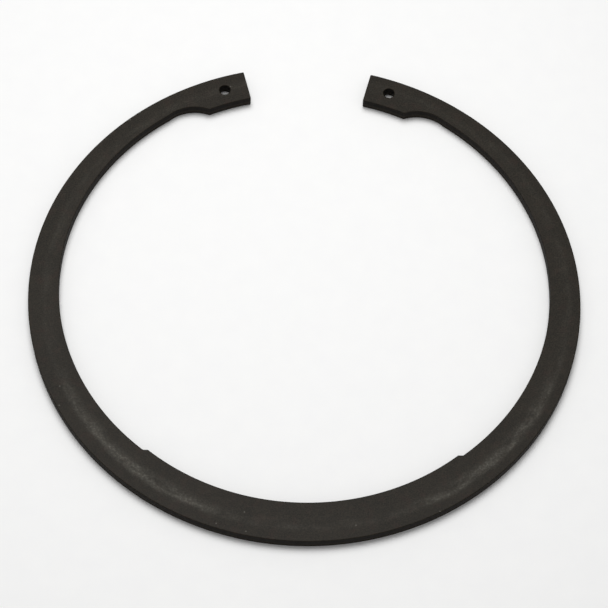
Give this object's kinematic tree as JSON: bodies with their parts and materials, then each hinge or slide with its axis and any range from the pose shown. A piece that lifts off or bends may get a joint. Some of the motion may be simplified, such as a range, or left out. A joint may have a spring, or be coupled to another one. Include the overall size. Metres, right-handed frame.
{
  "type": "internal retaining ring",
  "caption": "Flat open spring steel ring with tapering arms and inward lugs with plier holes, which springs into a groove in a bore to hold a bearing or shaft in place.",
  "frame": {"origin": "centre of the outer edge, on the underside that the ring lies on", "axes": "+Z along the ring's axis, up out of the face; +Y from the centre towards the gap between the lugs; +X to the right-hand lug's side"},
  "size_m": [0.1894, 0.1866, 0.004],
  "materials": {
    "phosphated_spring_steel": "dark brown-black phosphate, lightly oiled, satin"
  },
  "bodies": {
    "root": {"retaining_ring": "phosphated_spring_steel"}
  },
  "joints": []
}
